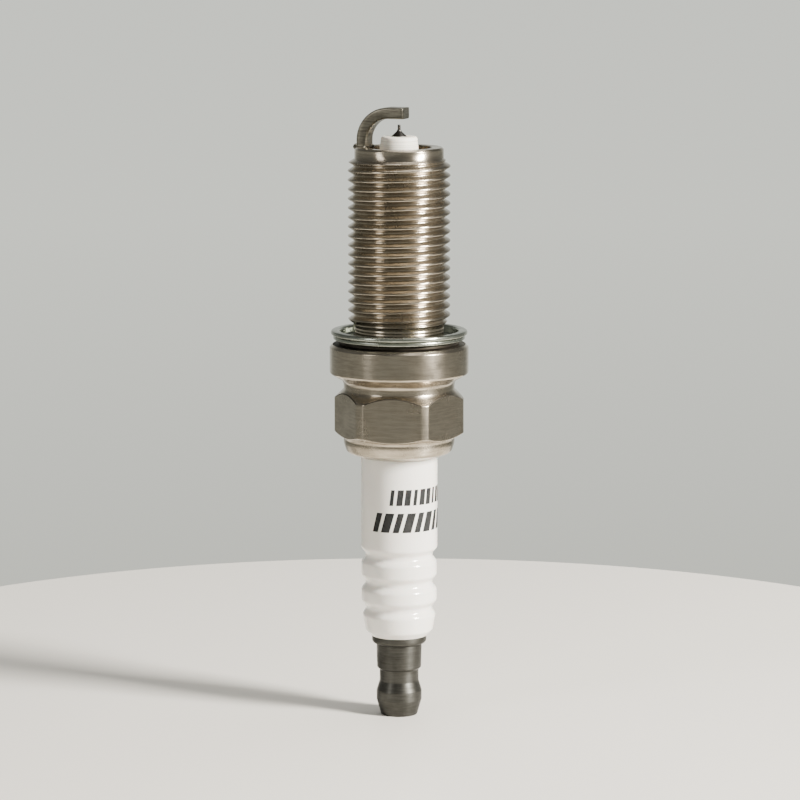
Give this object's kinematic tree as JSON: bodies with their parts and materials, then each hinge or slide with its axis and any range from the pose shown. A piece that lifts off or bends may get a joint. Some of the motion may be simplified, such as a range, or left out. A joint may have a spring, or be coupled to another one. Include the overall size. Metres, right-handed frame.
{
  "type": "spark plug",
  "caption": "Long-reach spark plug with a threaded steel shell, hexagon, captive folded gasket, ribbed white insulator, fine-wire electrode and screw-on terminal nut.",
  "frame": {"origin": "middle of the terminal nut's flat end face, which the plug stands on", "axes": "+Z along the plug's axis towards the firing end; -Y towards the front of the hexagon's nearly frontal flat; the ground electrode is welded on the -X side"},
  "size_m": [0.0188, 0.0188, 0.0828],
  "materials": {
    "nickel_plated_steel": "bright nickel plate with turning marks",
    "zinc_plated_steel": "satin zinc plate",
    "nickel_alloy": "drawn nickel alloy",
    "glazed_alumina": "white, glossy glaze",
    "precious_wire": "hard grey precious metal",
    "copper": "soft copper",
    "seal_glass": "copper and glass, fused",
    "resistor_mass": "carbon and glass, fused",
    "dark_steel": "dark satin steel",
    "plain_steel": "bare steel",
    "talc": "pressed powder"
  },
  "bodies": {
    "plug": {"metal_shell": "nickel_plated_steel", "ground_electrode": "nickel_alloy", "insulator": "glazed_alumina", "center_electrode": "nickel_alloy", "center_electrode_core": "copper", "fine_wire_tip": "precious_wire", "lower_glass_seal": "seal_glass", "resistor": "resistor_mass", "upper_glass_seal": "seal_glass", "terminal_stud": "dark_steel", "seat_packing": "plain_steel", "lower_packing_ring": "plain_steel", "talc_ring": "talc", "upper_packing_ring": "plain_steel"},
    "gasket": {"seat_gasket": "zinc_plated_steel"},
    "terminal_nut": {"terminal_nut": "dark_steel"}
  },
  "joints": [
    {"name": "gasket_play", "type": "slide", "parent": "plug", "child": "gasket", "axis": [0, 0, 1], "range_m": [0, 0.0015]},
    {"name": "terminal_nut_off", "type": "slide", "parent": "plug", "child": "terminal_nut", "axis": [0, 0, -1], "range_m": [0, 0.009]}
  ]
}
